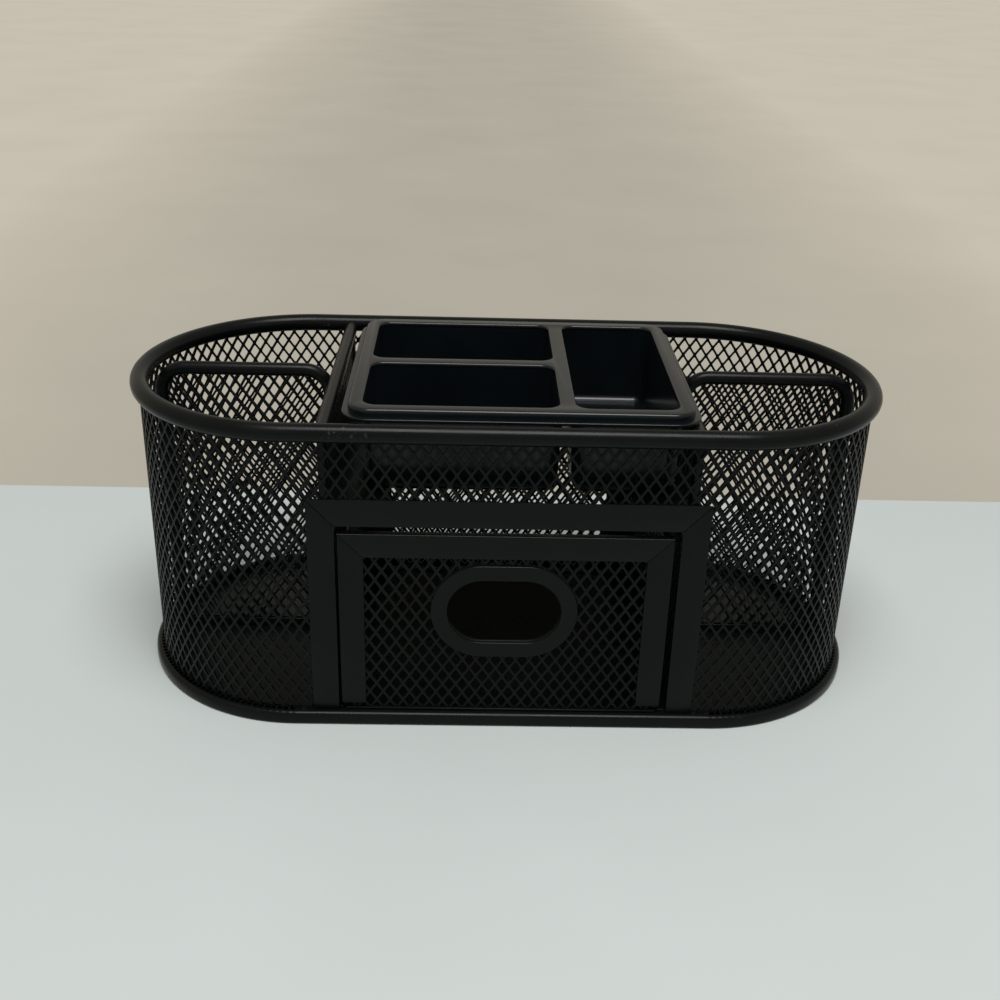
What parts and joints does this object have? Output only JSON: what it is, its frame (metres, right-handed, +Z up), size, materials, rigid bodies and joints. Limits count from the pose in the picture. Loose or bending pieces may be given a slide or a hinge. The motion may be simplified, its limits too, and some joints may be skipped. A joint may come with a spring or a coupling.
{
  "type": "pen stand with drawer",
  "caption": "Oval desk organizer of black mesh steel: upright pen bays at both rounded ends, a sliding front drawer and a lift-out moulded tray.",
  "frame": {"origin": "on the table, under the middle of the basket's length and depth", "axes": "+X along the length to the right, +Y towards the back, +Z up; the drawer faces -Y"},
  "size_m": [0.3304, 0.1494, 0.143],
  "materials": {
    "mesh_steel": "black powder coat over expanded steel, satin",
    "tube_steel": "black powder coat, satin, with a soft highlight along the tube",
    "strip_steel": "black powder coat over folded steel strip, nearly matt",
    "ring_steel": "black powder coat, nearly matt, bright at the rolled inner edge",
    "tray_plastic": "black moulded plastic, slightly glossy, polished inside the cups"
  },
  "bodies": {
    "basket": {"rim_tube": "tube_steel", "left_wall_mesh": "mesh_steel", "right_wall_mesh": "mesh_steel", "front_wall_mesh": "mesh_steel", "rear_wall_mesh": "mesh_steel", "base_band": "strip_steel", "base_floor": "strip_steel", "surround_head": "strip_steel", "left_surround_leg": "strip_steel", "right_surround_leg": "strip_steel", "drawer_stop": "strip_steel", "left_side_divider_mesh": "mesh_steel", "right_side_divider_mesh": "mesh_steel", "left_side_divider_rod": "tube_steel", "right_side_divider_rod": "tube_steel", "left_side_divider_front_binding": "strip_steel", "right_side_divider_front_binding": "strip_steel", "left_side_divider_rear_binding": "strip_steel", "right_side_divider_rear_binding": "strip_steel", "left_end_divider_mesh": "mesh_steel", "right_end_divider_mesh": "mesh_steel", "left_end_divider_rod": "tube_steel", "right_end_divider_rod": "tube_steel", "left_end_divider_foot": "strip_steel", "right_end_divider_foot": "strip_steel", "left_drawer_runner": "strip_steel", "right_drawer_runner": "strip_steel", "left_tray_rail": "strip_steel", "right_tray_rail": "strip_steel"},
    "drawer": {"drawer_front_mesh": "mesh_steel", "drawer_front_head": "strip_steel", "left_front_strip": "strip_steel", "right_front_strip": "strip_steel", "finger_ring": "ring_steel", "finger_ring_back": "ring_steel", "drawer_floor": "strip_steel", "left_drawer_side_mesh": "mesh_steel", "right_drawer_side_mesh": "mesh_steel", "left_drawer_side_hem": "strip_steel", "right_drawer_side_hem": "strip_steel", "drawer_rear_mesh": "mesh_steel", "drawer_rear_hem": "strip_steel", "left_rear_strip": "strip_steel", "right_rear_strip": "strip_steel"},
    "tray": {"pen_tray": "tray_plastic"}
  },
  "joints": [
    {"name": "drawer_slide", "type": "slide", "parent": "basket", "child": "drawer", "axis": [0, -1, 0], "range_m": [0, 0.11]},
    {"name": "tray_lift", "type": "slide", "parent": "basket", "child": "tray", "axis": [0, 0, 1], "range_m": [0, 0.06]}
  ]
}
